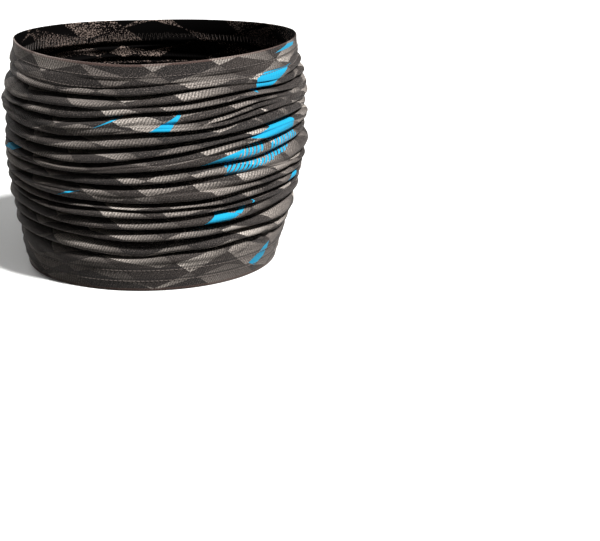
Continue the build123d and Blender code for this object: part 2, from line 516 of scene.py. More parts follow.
def knit_tube():
    """The cloth as one mesh, with its two maps."""
    rows = len(shell)
    corners = []
    for row in range(rows):
        upper = (row + 1) % rows
        for column in range(COLUMNS):
            beside = (column + 1) % COLUMNS
            corners.append((row * COLUMNS + column, row * COLUMNS + beside,
                            upper * COLUMNS + beside, upper * COLUMNS + column))
    mesh = bpy.data.meshes.new("printed_knit_tube")
    mesh.from_pydata((shell.reshape(-1, 3) * MM).tolist(), [], corners)
    quads = np.array(corners)
    row_of, column_of = quads // COLUMNS, quads % COLUMNS
    # the last column's quads reach past the back of the tube
    turn = (column_of[:, :1] == COLUMNS - 1) & (column_of == 0)
    angle = angles[column_of] + 360 * turn
    from_seam = (angle - SEAM_ANGLE) % 360
    crossing = (from_seam.max(axis=1) - from_seam.min(axis=1)) > 180
    from_seam = np.where(crossing[:, None] & (from_seam < 180), from_seam + 360, from_seam)
    across = from_seam / 360 * CUT_WIDTH * MM
    along = shell_along[row_of, column_of] * MM
    cloth_map = mesh.uv_layers.new(name="cloth")
    cloth_map.data.foreach_set("uv", np.stack([across, along], -1).astype(np.float32).ravel())
    place_map = mesh.uv_layers.new(name="place")
    standing = shell[row_of, column_of, 2]
    place_map.data.foreach_set("uv", np.stack([angle, standing], -1).astype(np.float32).ravel())
    mesh.polygons.foreach_set("use_smooth", np.ones(len(corners), bool))
    # the printed face of each turned-in hem layer, and half its fold, get the dark wrong-side material as
    # painted shade, along with the whole wrong side
    hem_rows = HEM_POINTS + TURN_POINTS // 2
    inside = (row_of[:, 0] < hem_rows) | (row_of[:, 0] >= len(printed) - 1 - hem_rows)
    mesh.polygons.foreach_set("material_index", inside.astype(np.int32))
    mesh.update()
    return mesh


def new_object(name, data):
    """An object at the origin that shows this mesh, lamp or camera."""
    made = bpy.data.objects.new(name, data)
    bpy.context.scene.collection.objects.link(made)
    return made


tube = new_object("printed_knit_tube", knit_tube())
print(f"knit tube: {len(tube.data.polygons) * 2} triangles")

# %% [markdown]
# ## Building materials from nodes
# One helper adds a node, sets its options and fills or links its inputs. Colours are written as the hex
# values a designer would pick, and one function turns them from sRGB to the linear values that the
# renderer works in.

# %% Node and colour helpers


def add_node(tree, kind, inputs=None, output=0, **settings):
    """Add a node and return one of its outputs; inputs maps a socket to a value or to another output."""
    node = tree.nodes.new(kind)
    for setting, value in settings.items():
        setattr(node, setting, value)
    for socket, value in (inputs or {}).items():
        if isinstance(value, bpy.types.NodeSocket):
            tree.links.new(value, node.inputs[socket])
        else:
            node.inputs[socket].default_value = value
    return node.outputs[output] if node.outputs else node


def linear(hex_colour):
    """Linear RGBA of an sRGB hex colour."""
    channels = [int(hex_colour[i:i + 2], 16) / 255 for i in (1, 3, 5)]
    return [c / 12.92 if c <= 0.04045 else ((c + 0.055) / 1.055) ** 2.4 for c in channels] + [1.0]


print(f"sRGB #808080 is {linear('#808080')[0]:.2f} in linear light")

# %% Bare materials
POLYESTER_IOR = 1.5
SHEEN_ROUGHNESS = 0.55


def new_material(name, roughness, sheen, gloss):
    """A material with only its shader, and that shader's constants."""
    material = bpy.data.materials.new(name)
    material.use_nodes = True
    tree = material.node_tree
    tree.nodes.clear()
    surface = add_node(tree, "ShaderNodeBsdfPrincipled",
                       {"Roughness": roughness, "IOR": POLYESTER_IOR, "Specular IOR Level": gloss,
                        "Sheen Weight": sheen, "Sheen Roughness": SHEEN_ROUGHNESS})
    add_node(tree, "ShaderNodeOutputMaterial", {"Surface": surface})
    return material, tree, surface.node


# %% [markdown]
# ## The print
# The cloth carries a sublimation print of slanted shards in two greys. Three families of parallel lines
# cross it: one runs round in a shallow zigzag and two climb at different slants. Counting how many lines
# lie below a point, and asking whether that count is odd, gives shards that always change tone across a
# line. A random value for each shard then splits each grey into lighter and darker ones, and light shards
# fade from one side to the other.

# %% Shards of two greys
# the zigzag lines: how far apart, how many waves round, and how deep against their distance
BAND = 13.0
ZIGZAGS = 6
ZIGZAG_DEPTH = 0.8
# the two climbing families: how many lines meet an edge, and how far apart up the cloth; one leans each way
CLIMBING = ((14, 25.0), (6, -34.0))


def shard_tones(tree):
    """Place on the cloth, 1 on light shards, a random value for each shard, and how it fades sideways."""
    cloth_uv = add_node(tree, "ShaderNodeUVMap", uv_map="cloth")
    round_tube = add_node(tree, "ShaderNodeSeparateXYZ", {0: cloth_uv})
    up_cloth = round_tube.node.outputs[1]
    half_wave = CUT_WIDTH * MM / ZIGZAGS / 2
    zigzag = add_node(tree, "ShaderNodeMath", {0: round_tube, 1: half_wave}, operation="PINGPONG")
    zigzag = add_node(tree, "ShaderNodeMath", {0: zigzag, 1: ZIGZAG_DEPTH / half_wave},
                      operation="MULTIPLY")
    families = [add_node(tree, "ShaderNodeMath", {0: up_cloth, 1: 1 / (BAND * MM), 2: zigzag},
                         operation="MULTIPLY_ADD")]
    for count, rise in CLIMBING:
        lift = add_node(tree, "ShaderNodeMath", {0: up_cloth, 1: 1 / (rise * MM)}, operation="MULTIPLY")
        climb = {0: round_tube, 1: count / (CUT_WIDTH * MM), 2: lift}
        families.append(add_node(tree, "ShaderNodeMath", climb, operation="MULTIPLY_ADD"))
    below = [add_node(tree, "ShaderNodeMath", {0: line}, operation="FLOOR") for line in families]
    shard = add_node(tree, "ShaderNodeCombineXYZ", dict(enumerate(below)))
    total = add_node(tree, "ShaderNodeMath", {0: below[0], 1: below[1]}, operation="ADD")
    total = add_node(tree, "ShaderNodeMath", {0: total, 1: below[2]}, operation="ADD")
    odd = add_node(tree, "ShaderNodeMath", {0: total, 1: 2.0}, operation="FLOORED_MODULO")
    light = add_node(tree, "ShaderNodeMath", {0: odd, 1: 0.5}, operation="GREATER_THAN")
    chance = add_node(tree, "ShaderNodeTexWhiteNoise", {"Vector": shard}, output="Value",
                      noise_dimensions="3D")
    fade = add_node(tree, "ShaderNodeMath", {0: families[1]}, operation="FRACT")
    return cloth_uv, light, chance, fade


print(f"{ZIGZAGS} zigzags round the tube, {BAND:.0f} mm apart, and {len(CLIMBING)} climbing families")

# %% [markdown]
# ## The bright shards
# Some shards of the print are bright blue, and a few of those are hatched with dark lines. They must lie
# where the creases leave them in view, so each is a convex outline in degrees round and millimetres up
# the standing tube. A point is in a shard if it lies on the inner side of every edge: one dot product and
# one comparison an edge. The hatching follows the cloth, so it breaks where a crease swallows some of it.

# %% Bright and hatched shards
SHARDS = [
    [(-44.5, 106), (-37, 107.5), (-20, 116.2), (-39, 115.5), (-44, 113)],
    [(-31, 123.8), (-13, 124.8), (-12, 126.4), (-20, 126.8)],
    [(-87.5, 90), (-80, 90.3), (-74.7, 99.2), (-77, 98)],
    [(-163, 70), (-152, 70.5), (-147, 73.5), (-156, 74.5)],
    [(-49, 82.7), (-35, 80.2), (-24, 82.5), (-22, 88.7), (-35, 87.3)],
    [(-70, 71), (-59, 70.8), (-50, 77.5), (-58, 75.5)],
    [(-67.5, 36.8), (-60, 43.5), (-52.5, 42), (-51, 40.7), (-58, 37)],
    [(-53, 42), (-43.5, 47.8), (-50, 41)],
    [(-25, 51), (-20, 54.5), (-13, 55.5), (-17, 51.5)],
    [(-38.5, 8), (-34, 5.2), (-27.5, 9), (-24.5, 17), (-29, 15)],
    [(-108, 91), (-98, 97.5), (-97, 97)],
    [(-124, 53.2), (-119, 56.2), (-113, 57.6), (-118, 55.6)],
    [(60, 98), (72, 103), (88, 104), (76, 99)],
    [(104, 58), (118, 66), (128, 66), (119, 59)],
    [(40, 30), (58, 37), (64, 36), (52, 30)],
    [(150, 36), (160, 43), (171, 44), (164, 38)],
    [(128, 104), (140, 108), (148, 107), (138, 103)],
]
HATCHED = [
    [(-59, 70.5), (-52, 77), (-46, 79), (-40, 79), (-42, 75), (-50, 72)],
    [(-59, 64), (-59, 70), (-38, 70), (-36, 68.5), (-50, 65.2)],
    [(-38, 77), (-30, 81), (-20, 82), (-19, 75), (-28, 70.5), (-40, 69)],
    [(84, 64), (90, 72), (104, 72), (98, 65)],
]
# hatching: mm from line to line, slant, and how much of it is bright
HATCH_SPACING = 2.0
HATCH_SLANT = math.radians(60)
HATCH_SHARE = 0.6


def inside_any(tree, place, outlines):
    """Output that is 1 inside any of these convex outlines and 0 elsewhere."""
    anywhere = None
    for outline_points in outlines:
        following = outline_points[1:] + outline_points[:1]
        area = sum(a[0] * b[1] - b[0] * a[1] for a, b in zip(outline_points, following))
        turn = math.copysign(1.0, area)
        inside = None
        for start, end in zip(outline_points, following):
            outwards = ((end[1] - start[1]) * turn, (start[0] - end[0]) * turn, 0)
            limit = start[0] * outwards[0] + start[1] * outwards[1]
            reach = add_node(tree, "ShaderNodeVectorMath", {0: place, 1: outwards}, output="Value",
                             operation="DOT_PRODUCT")
            within = add_node(tree, "ShaderNodeMath", {0: reach, 1: limit}, operation="LESS_THAN")
            inside = within if inside is None else add_node(
                tree, "ShaderNodeMath", {0: inside, 1: within}, operation="MULTIPLY")
        anywhere = inside if anywhere is None else add_node(
            tree, "ShaderNodeMath", {0: anywhere, 1: inside}, operation="MAXIMUM")
    return anywhere


def bright_shards(tree, cloth_uv):
    """Output that is 1 on the bright print: all of a plain shard, and the hatch lines of a hatched one."""
    place = add_node(tree, "ShaderNodeUVMap", uv_map="place")
    across = (math.sin(HATCH_SLANT) / (HATCH_SPACING * MM), -math.cos(HATCH_SLANT) / (HATCH_SPACING * MM), 0)
    lines = add_node(tree, "ShaderNodeVectorMath", {0: cloth_uv, 1: across},
                     output="Value", operation="DOT_PRODUCT")
    lines = add_node(tree, "ShaderNodeMath", {0: lines}, operation="FRACT")
    inked = add_node(tree, "ShaderNodeMath", {0: lines, 1: HATCH_SHARE}, operation="LESS_THAN")
    hatched = inside_any(tree, place, HATCHED)
    hatched = add_node(tree, "ShaderNodeMath", {0: hatched, 1: inked}, operation="MULTIPLY")
    plain = inside_any(tree, place, SHARDS)
    return add_node(tree, "ShaderNodeMath", {0: plain, 1: hatched}, operation="MAXIMUM")


print(f"{len(SHARDS)} bright shards and {len(HATCHED)} hatched ones")

# %% [markdown]
# ## The knit
# The fabric is brushed polyester single jersey. Its wales, the upright columns of stitches, are about 0.7
# mm apart; here they are drawn 1.6 mm apart, because finer ones would not show, and lean over as the
# cloth does where it is bunched. To the eye, they are a fine ribbing on each roll: a bump, with painted
# shade in the grooves and a painted highlight on the tops. Brushing leaves a soft, uneven nap that
# catches light at a slant, so the shader has sheen and hardly any gloss, and a speckle with pale fibre
# ends. Along the fold of each hem runs a brown band of painted highlight, and each of the two rows of
# stitches lies on a dark line of painted shadow, where the stitches draw the cloth in.

# %% Knit sizes in millimetres
WALE = 1.6
WALE_LEAN = 0.45
COURSE = 1.1
# how strong wales and courses are in a relief that runs from 0 to 1
WALE_RELIEF, COURSE_RELIEF = 0.42, 0.06
# noises, each with blotches of about so many millimetres
FLECK = {"Scale": 1 / (0.7 * MM), "Detail": 4.0, "Roughness": 0.6}
FIBRE = {"Scale": 1 / (0.55 * MM), "Detail": 2.0, "Roughness": 0.6}
NAP = {"Scale": 1 / (9.0 * MM), "Detail": 2.0, "Roughness": 0.6}
ROW_FROM_EDGE = 6.75
ROW_SPACING = 6.4
# width of the painted shadow along each row of stitches
STITCH_ROW_SHADOW_WIDTH = 1.1
# width of the painted highlight along each hem's fold
FOLD_HIGHLIGHT_WIDTH = 2.2


def knit_height(tree, cloth_uv):
    """Relief of the knit, 0 to 1: wales crossed by weaker courses."""
    waves = []
    for across, up, spacing in ((1.0, -WALE_LEAN, WALE), (0.0, 1.0, COURSE)):
        turns = 2 * math.pi / (spacing * MM)
        phase = add_node(tree, "ShaderNodeVectorMath", {0: cloth_uv, 1: (across * turns, up * turns, 0)},
                         output="Value", operation="DOT_PRODUCT")
        waves.append(add_node(tree, "ShaderNodeMath", {0: phase}, operation="SINE"))
    wales = add_node(tree, "ShaderNodeMath", {0: waves[0], 1: WALE_RELIEF, 2: 0.5}, operation="MULTIPLY_ADD")
    return add_node(tree, "ShaderNodeMath", {0: waves[1], 1: COURSE_RELIEF, 2: wales},
                    operation="MULTIPLY_ADD")


print(f"{CUT_WIDTH / WALE:.0f} wales round the tube")


# %% Printed side
DARK_GREYS = {6: linear("#171312"), 7: linear("#2c2623")}
LIGHT_GREYS = {6: linear("#6a625d"), 7: linear("#b4aba2")}
CYANS = {6: linear("#0489b6"), 7: linear("#0aa8cd")}
FADED_GREY = linear("#4c4642")
FIBRE_END = linear("#9a8f88")
# colour of the painted shadow along the rows of stitches
STITCH_ROW_SHADOW = linear("#0b0909")
# colour of the painted highlight along each hem's fold
FOLD_HIGHLIGHT = linear("#5f4942")
NAP_SHEEN = linear("#b9b0ab")
# each relief or noise, from low to high, and the tones those become
# the wale relief darkens the colour in its grooves and lightens it on its tops: painted shade and painted
# highlight
RIB_PAINTED_SHADE = {1: 0.1, 2: 0.9, 3: 0.46, 4: 1.3}
FLECK_TONES = {1: 0.38, 2: 0.62, 3: 0.3, 4: 1.65}
NAP_TONES = {1: 0.3, 2: 0.7, 3: 0.86, 4: 1.12}
FIBRE_TONES = {1: 0.55, 2: 0.66, 3: 0.0, 4: 0.42}
FLECK_ROUGHNESS = {1: 0.3, 2: 0.7, 3: 0.78, 4: 0.94}
# how strongly the painted shadow along the stitch rows darkens the colour
STITCH_ROW_SHADOW_STRENGTH = 0.65
FLECK_RELIEF = 0.5
PRINTED_BUMP = {"Strength": 0.55, "Distance": 0.35 * MM}


def print_colours(tree, cloth_uv, light, chance, fade, fleck):
    """Colour of the print: two greys in shards, speckled and patchy, with the ribbing's painted shade and
    highlight.
    """
    dark_grey = add_node(tree, "ShaderNodeMix", {0: chance, **DARK_GREYS}, output=2, data_type="RGBA")
    light_grey = add_node(tree, "ShaderNodeMix", {0: chance, **LIGHT_GREYS}, output=2, data_type="RGBA")
    light_grey = add_node(tree, "ShaderNodeMix", {0: fade, 6: light_grey, 7: FADED_GREY},
                          output=2, data_type="RGBA")
    colour = add_node(tree, "ShaderNodeMix", {0: light, 6: dark_grey, 7: light_grey}, output=2,
                      data_type="RGBA")
    nap = add_node(tree, "ShaderNodeTexNoise", {"Vector": cloth_uv, **NAP})
    ribs = knit_height(tree, cloth_uv)
    # the rib tones are painted shade in the wale grooves and a painted highlight on the wale tops
    for relief, tones in ((fleck, FLECK_TONES), (ribs, RIB_PAINTED_SHADE), (nap, NAP_TONES)):
        shade = add_node(tree, "ShaderNodeMapRange", {0: relief, **tones})
        colour = add_node(tree, "ShaderNodeMix", {0: 1.0, 6: colour, 7: shade}, output=2, data_type="RGBA",
                          blend_type="MULTIPLY")
    return colour, ribs


def hem_painted_shade_and_highlight(tree, colour, up_cloth, fleck):
    """The same colour with a line of painted shadow along each row of stitches, and a brown band of painted
    highlight along the fold of each hem.
    """
    for fold, inwards in ((HEM_DEPTH, 1), (FINISHED_LENGTH + HEM_DEPTH, -1)):
        for from_edge in (ROW_FROM_EDGE, ROW_FROM_EDGE + ROW_SPACING):
            # painted shadow: a dark line along each row of stitches, where the stitches draw the cloth in
            stitch_shadow = add_node(tree, "ShaderNodeMath", {0: up_cloth, 1: (fold + inwards * from_edge) * MM,
                                                       2: STITCH_ROW_SHADOW_WIDTH / 2 * MM}, operation="COMPARE")
            stitch_shadow = add_node(tree, "ShaderNodeMath", {0: stitch_shadow, 1: STITCH_ROW_SHADOW_STRENGTH}, operation="MULTIPLY")
            colour = add_node(tree, "ShaderNodeMix", {0: stitch_shadow, 6: colour, 7: STITCH_ROW_SHADOW},
                              output=2, data_type="RGBA")
        # painted highlight: a brown band along each hem's fold, broken up by the fleck noise
        fold_highlight = add_node(tree, "ShaderNodeMath", {0: up_cloth, 1: fold * MM, 2: FOLD_HIGHLIGHT_WIDTH / 2 * MM},
                        operation="COMPARE")
        fold_highlight = add_node(tree, "ShaderNodeMath", {0: fold_highlight, 1: fleck}, operation="MULTIPLY")
        colour = add_node(tree, "ShaderNodeMix", {0: fold_highlight, 6: colour, 7: FOLD_HIGHLIGHT},
                          output=2, data_type="RGBA")
    return colour


def printed_knit():
    """Brushed polyester jersey, printed: matt, faintly ribbed, with a nap that lightens at a slant."""
    material, tree, shader = new_material("brushed_polyester_jersey_printed",
                                          roughness=0.8, sheen=0.12, gloss=0.3)
    shader.inputs["Sheen Tint"].default_value = NAP_SHEEN
    cloth_uv, light, chance, fade = shard_tones(tree)
    fleck = add_node(tree, "ShaderNodeTexNoise", {"Vector": cloth_uv, **FLECK})
    colour, ribs = print_colours(tree, cloth_uv, light, chance, fade, fleck)
    fibres = add_node(tree, "ShaderNodeTexNoise", {"Vector": cloth_uv, **FIBRE})
    fibres = add_node(tree, "ShaderNodeMapRange", {0: fibres, **FIBRE_TONES})
    colour = add_node(tree, "ShaderNodeMix", {0: fibres, 6: colour, 7: FIBRE_END}, output=2, data_type="RGBA")
    up_cloth = add_node(tree, "ShaderNodeSeparateXYZ", {0: cloth_uv}, output=1)
    colour = hem_painted_shade_and_highlight(tree, colour, up_cloth, fleck)
    cyan = add_node(tree, "ShaderNodeMix", {0: fleck, **CYANS}, output=2, data_type="RGBA")
    colour = add_node(tree, "ShaderNodeMix", {0: bright_shards(tree, cloth_uv), 6: colour, 7: cyan},
                      output=2, data_type="RGBA")
    tree.links.new(colour, shader.inputs["Base Color"])
    rough = add_node(tree, "ShaderNodeMapRange", {0: fleck, **FLECK_ROUGHNESS})
    tree.links.new(rough, shader.inputs["Roughness"])
    surface = add_node(tree, "ShaderNodeMath", {0: fleck, 1: FLECK_RELIEF, 2: ribs},
                       operation="MULTIPLY_ADD")
    bump = add_node(tree, "ShaderNodeBump", {"Height": surface, **PRINTED_BUMP})
    tree.links.new(bump, shader.inputs["Normal"])
    return material


tube.data.materials.append(printed_knit())
print("printed side:", len(tube.data.materials[0].node_tree.nodes), "nodes")

# %% [markdown]
# ## The wrong side
# Sublimation print stays on the face of the cloth. The wrong side is black filament, and the light shards
# only grin through between the stitches, as grains of a warm grey. The same dark material also covers the
# printed face of each turned-in hem layer, as painted shade.

# %% Wrong side
FILAMENT = linear("#060505")
GRAIN_TONES = {6: linear("#5a4e49"), 7: linear("#8a7a71")}
GRAIN = {"Scale": 1 / (1.0 * MM), "Detail": 4.0, "Roughness": 0.6}
GRAIN_PATCH = {"Scale": 1 / (14.0 * MM), "Detail": 2.0, "Roughness": 0.6}
# a grain shows where its noise is above this, which falls where the patches are high
GRAIN_LIMIT = {1: 0.35, 2: 0.65, 3: 0.6, 4: 0.5}
WRONG_SIDE_BUMP = {"Strength": 0.5, "Distance": 0.3 * MM}


def wrong_side_and_hem_shade_knit():
    """The unprinted filament side: black and matt, with the light print grinning through as grains; also
    painted shade on the turned-in hems' printed face.
    """
    material, tree, shader = new_material("jersey_wrong_side_and_painted_hem_shade",
                                          roughness=0.9, sheen=0.0, gloss=0.04)
    cloth_uv, light, chance, _ = shard_tones(tree)
    grain = add_node(tree, "ShaderNodeTexNoise", {"Vector": cloth_uv, **GRAIN})
    patch = add_node(tree, "ShaderNodeTexNoise", {"Vector": cloth_uv, **GRAIN_PATCH})
    limit = add_node(tree, "ShaderNodeMapRange", {0: patch, **GRAIN_LIMIT})
    grains = add_node(tree, "ShaderNodeMath", {0: grain, 1: limit}, operation="GREATER_THAN")
    shown = add_node(tree, "ShaderNodeMath", {0: grains, 1: light}, operation="MULTIPLY")
    warm = add_node(tree, "ShaderNodeMix", {0: chance, **GRAIN_TONES}, output=2, data_type="RGBA")
    colour = add_node(tree, "ShaderNodeMix", {0: shown, 6: FILAMENT, 7: warm}, output=2, data_type="RGBA")
    tree.links.new(colour, shader.inputs["Base Color"])
    bump = add_node(tree, "ShaderNodeBump", {"Height": knit_height(tree, cloth_uv), **WRONG_SIDE_BUMP})
    tree.links.new(bump, shader.inputs["Normal"])
    return material


tube.data.materials.append(wrong_side_and_hem_shade_knit())
print("wrong side:", len(tube.data.materials[1].node_tree.nodes), "nodes")

# %% [markdown]
# ## Finding a line on the finished cloth
# A hem stitch lies a fixed distance from the folded edge, measured along the cloth. `line_on_cloth` walks
# that distance up every column of the mesh, so threads land on the cloth however it has been pushed
# about.

# %% Lines on the cloth
fold_row = HEM_POINTS + TURN_POINTS // 2
lower_fold = along_cloth[fold_row]
upper_fold = along_cloth[len(printed) - 1 - fold_row]


def line_on_cloth(distance):
    """Points and normals, one for each column, at this distance up the cloth."""
    line = np.zeros((COLUMNS, 3))
    facing = np.zeros((COLUMNS, 3))
    for column in range(COLUMNS):
        up_path = along_cloth[:, column]
        for axis in range(3):
            line[column, axis] = np.interp(distance[column], up_path, printed[:, column, axis])
            facing[column, axis] = np.interp(distance[column], up_path, normals[:, column, axis])
    return line, facing


print(f"folds {lower_fold.mean():.1f} and {upper_fold.mean():.1f} mm up the path")

# %% [markdown]
# ## Hem threads
# A twin-needle hem shows two rows of straight stitches outside, and inside, one looper thread that
# zigzags between them over the raw edge. One node tree lays stitches along a line: it cuts the line into
# stitch lengths, puts a small arched stitch on each point and turns it along the row. A second tree makes
# the zigzag: it cuts the line in the same way, then moves every other point to the far side.

# %% Thread material
PLY = {"Scale": 1 / (0.5 * MM), "Detail": 3.0, "Roughness": 0.6}
THREAD_TONES = {6: linear("#2c2624"), 7: linear("#7a6f68")}
PLY_BUMP = {"Strength": 0.6, "Distance": 0.1 * MM}


def spun_thread():
    """Spun polyester sewing thread: hairy and matt, a shade lighter than the dark print."""
    material, tree, shader = new_material("spun_polyester_thread", roughness=0.7, sheen=0.1, gloss=0.3)
    where = add_node(tree, "ShaderNodeTexCoord", output="Object")
    plies = add_node(tree, "ShaderNodeTexNoise", {"Vector": where, **PLY})
    colour = add_node(tree, "ShaderNodeMix", {0: plies, **THREAD_TONES}, output=2, data_type="RGBA")
    tree.links.new(colour, shader.inputs["Base Color"])
    bump = add_node(tree, "ShaderNodeBump", {"Height": plies, **PLY_BUMP})
    tree.links.new(bump, shader.inputs["Normal"])
    return material


thread = spun_thread()
print("thread:", len(thread.node_tree.nodes), "nodes")

# %% Stitch trees
# half a stitch against its pitch, and how far its ends dip and its crown rises, in thread radii
HALF_STITCH = 0.4
STITCH_DIP = -1.2
STITCH_CROWN = 2.2
# stitches vary in size between these
LEAST_STITCH = (0.88, 0.85, 0.8)
MOST_STITCH = (1.08, 1.1, 1.15)
THREAD_SIDES = 5


def new_tree(name, inputs):
    """An empty geometry tree with a line in, pieces out and these named inputs."""
    tree = bpy.data.node_groups.new(name, "GeometryNodeTree")
    tree.interface.new_socket("Line", in_out="INPUT", socket_type="NodeSocketGeometry")
    for label, kind in inputs:
        tree.interface.new_socket(label, in_out="INPUT", socket_type=f"NodeSocket{kind}")
    tree.interface.new_socket("Thread", in_out="OUTPUT", socket_type="NodeSocketGeometry")
    return tree, add_node(tree, "NodeGroupInput").node.outputs


def finish_tree(tree, geometry, material):
    """Realise what the tree made, give it its material and send it out."""
    solid = add_node(tree, "GeometryNodeRealizeInstances", {0: geometry})
    dressed = add_node(tree, "GeometryNodeSetMaterial", {"Geometry": solid, "Material": material})
    add_node(tree, "NodeGroupOutput", {0: dressed})


def needle_tree():
    """Straight stitches along a line."""
    tree, given = new_tree("needle_stitches", [("Stitch length", "Float"), ("Thread radius", "Float"),
                                               ("Seed", "Int"), ("Material", "Material")])
    path = add_node(tree, "GeometryNodeMeshToCurve", {0: given["Line"]})
    cut = add_node(tree, "GeometryNodeResampleCurve", {"Curve": path, "Length": given["Stitch length"]},
                   mode="LENGTH")
    half, back, dip, crown = [
        add_node(tree, "ShaderNodeMath", {0: given[size], 1: share}, operation="MULTIPLY")
        for size, share in (("Stitch length", HALF_STITCH), ("Stitch length", -HALF_STITCH),
                            ("Thread radius", STITCH_DIP), ("Thread radius", STITCH_CROWN))]
    ends = [add_node(tree, "ShaderNodeCombineXYZ", {0: x, 2: z}) for x, z in ((back, dip), (half, dip))]
    middle = add_node(tree, "ShaderNodeCombineXYZ", {2: crown})
    arch = add_node(tree, "GeometryNodeCurveQuadraticBezier",
                    {"Resolution": 4, "Start": ends[0], "Middle": middle, "End": ends[1]})
    section = add_node(tree, "GeometryNodeCurvePrimitiveCircle",
                       {"Resolution": THREAD_SIDES, "Radius": given["Thread radius"]})
    stitch = add_node(tree, "GeometryNodeCurveToMesh", {"Curve": arch, "Profile Curve": section,
                                                        "Fill Caps": True})
    along_row = add_node(tree, "GeometryNodeInputTangent")
    where = add_node(tree, "GeometryNodeInputPosition")
    outwards = add_node(tree, "ShaderNodeVectorMath", {0: where, 1: (1, 1, 0)}, operation="MULTIPLY")
    lengthwise = add_node(tree, "FunctionNodeAlignRotationToVector", {"Vector": along_row}, axis="X")
    facing = add_node(tree, "FunctionNodeAlignRotationToVector", {"Rotation": lengthwise, "Vector": outwards},
                      axis="Z", pivot_axis="X")
    limits = {"Min": LEAST_STITCH, "Max": MOST_STITCH, "Seed": given["Seed"]}
    size = add_node(tree, "FunctionNodeRandomValue", limits, data_type="FLOAT_VECTOR")
    row = add_node(tree, "GeometryNodeInstanceOnPoints", {"Points": cut, "Instance": stitch,
                                                          "Rotation": facing, "Scale": size})
    finish_tree(tree, row, given["Material"])
    return tree


def zigzag_tree():
    """A thread that crosses a line to and fro."""
    tree, given = new_tree("zigzag_thread", [("Stitch length", "Float"), ("Thread radius", "Float"),
                                             ("Sideways", "Vector"), ("Material", "Material")])
    path = add_node(tree, "GeometryNodeMeshToCurve", {0: given["Line"]})
    step = add_node(tree, "ShaderNodeMath", {0: given["Stitch length"], 1: 0.5}, operation="MULTIPLY")
    cut = add_node(tree, "GeometryNodeResampleCurve", {"Curve": path, "Length": step}, mode="LENGTH")
    number = add_node(tree, "GeometryNodeInputIndex")
    odd = add_node(tree, "ShaderNodeMath", {0: number, 1: 2.0}, operation="FLOORED_MODULO")
    side = add_node(tree, "ShaderNodeMath", {0: odd, 1: 2.0, 2: -1.0}, operation="MULTIPLY_ADD")
    shift = add_node(tree, "ShaderNodeVectorMath", {0: given["Sideways"], "Scale": side}, operation="SCALE")
    bent = add_node(tree, "GeometryNodeSetPosition", {"Geometry": cut, "Offset": shift})
    section = add_node(tree, "GeometryNodeCurvePrimitiveCircle",
                       {"Resolution": THREAD_SIDES, "Radius": given["Thread radius"]})
    thread = add_node(tree, "GeometryNodeCurveToMesh", {"Curve": bent, "Profile Curve": section,
                                                        "Fill Caps": True})
    finish_tree(tree, thread, given["Material"])
    return tree


needle_stitches = needle_tree()
zigzag_thread = zigzag_tree()
print("stitch trees:", len(needle_stitches.nodes), "and", len(zigzag_thread.nodes), "nodes")

# %% Sewing along a line


def sew(name, points, tree, values, closed=True):
    """Run a thread tree along a line of points and keep the result as a plain mesh."""
    mesh = bpy.data.meshes.new(name + "_line")
    count = len(points)
    edges = [(i, i + 1) for i in range(count - 1)] + ([(count - 1, 0)] if closed else [])
    mesh.from_pydata((points * MM).tolist(), edges, [])
    carrier = new_object(name + "_line", mesh)
    modifier = carrier.modifiers.new("thread", "NODES")
    modifier.node_group = tree
    for item in tree.interface.items_tree:
        if item.item_type == "SOCKET" and item.in_out == "INPUT" and item.name in values:
            modifier[item.identifier] = values[item.name]
    bpy.context.view_layer.update()
    evaluated = carrier.evaluated_get(bpy.context.evaluated_depsgraph_get())
    sewn = bpy.data.meshes.new_from_object(evaluated)
    sewn.name = name
    bpy.data.objects.remove(carrier)
    sewn.polygons.foreach_set("use_smooth", np.ones(len(sewn.polygons), bool))
    print(f"{name}: {len(sewn.polygons)} faces")
    return new_object(name, sewn)


# %% Hem threads
STITCH = 2.5
NEEDLE_THREAD = 0.45
LOOPER_THREAD = 0.3
# how far a thread's line lies outside the printed side
NEEDLE_LIFT = 0.05
LOOPER_LIFT = 0.15
NEEDLE_SEEDS = (3, 4)
threads = {}
for end, fold, inwards in (("bottom", lower_fold, 1), ("top", upper_fold, -1)):
    body = "lower_end" if end == "bottom" else "upper_end"
    rows = (("edge_stitch_row", ROW_FROM_EDGE), ("inner_stitch_row", ROW_FROM_EDGE + ROW_SPACING))
    for (row_name, from_edge), seed in zip(rows, NEEDLE_SEEDS):
        line, facing = line_on_cloth(fold + inwards * from_edge)
        values = {"Stitch length": STITCH * MM, "Thread radius": NEEDLE_THREAD / 2 * MM, "Seed": seed,
                  "Material": thread}
        name = f"{end}_hem_{row_name}"
        threads[name] = (sew(name + "_thread", line + facing * NEEDLE_LIFT, needle_stitches, values), body)
    # the looper thread is on the turned-in layer, which the path passes before the fold
    line, facing = line_on_cloth(fold - inwards * (ROW_FROM_EDGE + ROW_SPACING / 2))
    values = {"Stitch length": STITCH * MM, "Thread radius": LOOPER_THREAD / 2 * MM,
              "Sideways": (0, 0, ROW_SPACING / 2 * MM), "Material": thread}
    name = f"{end}_hem_looper_thread"
    threads[name] = (sew(name + "_zigzag", line + facing * LOOPER_LIFT, zigzag_thread, values), body)

# %% [markdown]
# ## The side seam
# The tube is closed by one overlocked seam. Outside it is only a fine valley; inside, two raw edges 5 mm
# wide lie together against the cloth, with an overlock thread laced over them. The allowance follows the
# cloth into every fold.

# %% Seam allowance and overlock thread
ALLOWANCE_WIDTH = 5.0
# how far the strip's two faces lie inside the printed side
ALLOWANCE_LAYERS = (0.55, 1.5)
OVERLOCK_STITCH = 2.4
OVERLOCK_REACH = 2.7
OVERLOCK_LIFT = 0.15
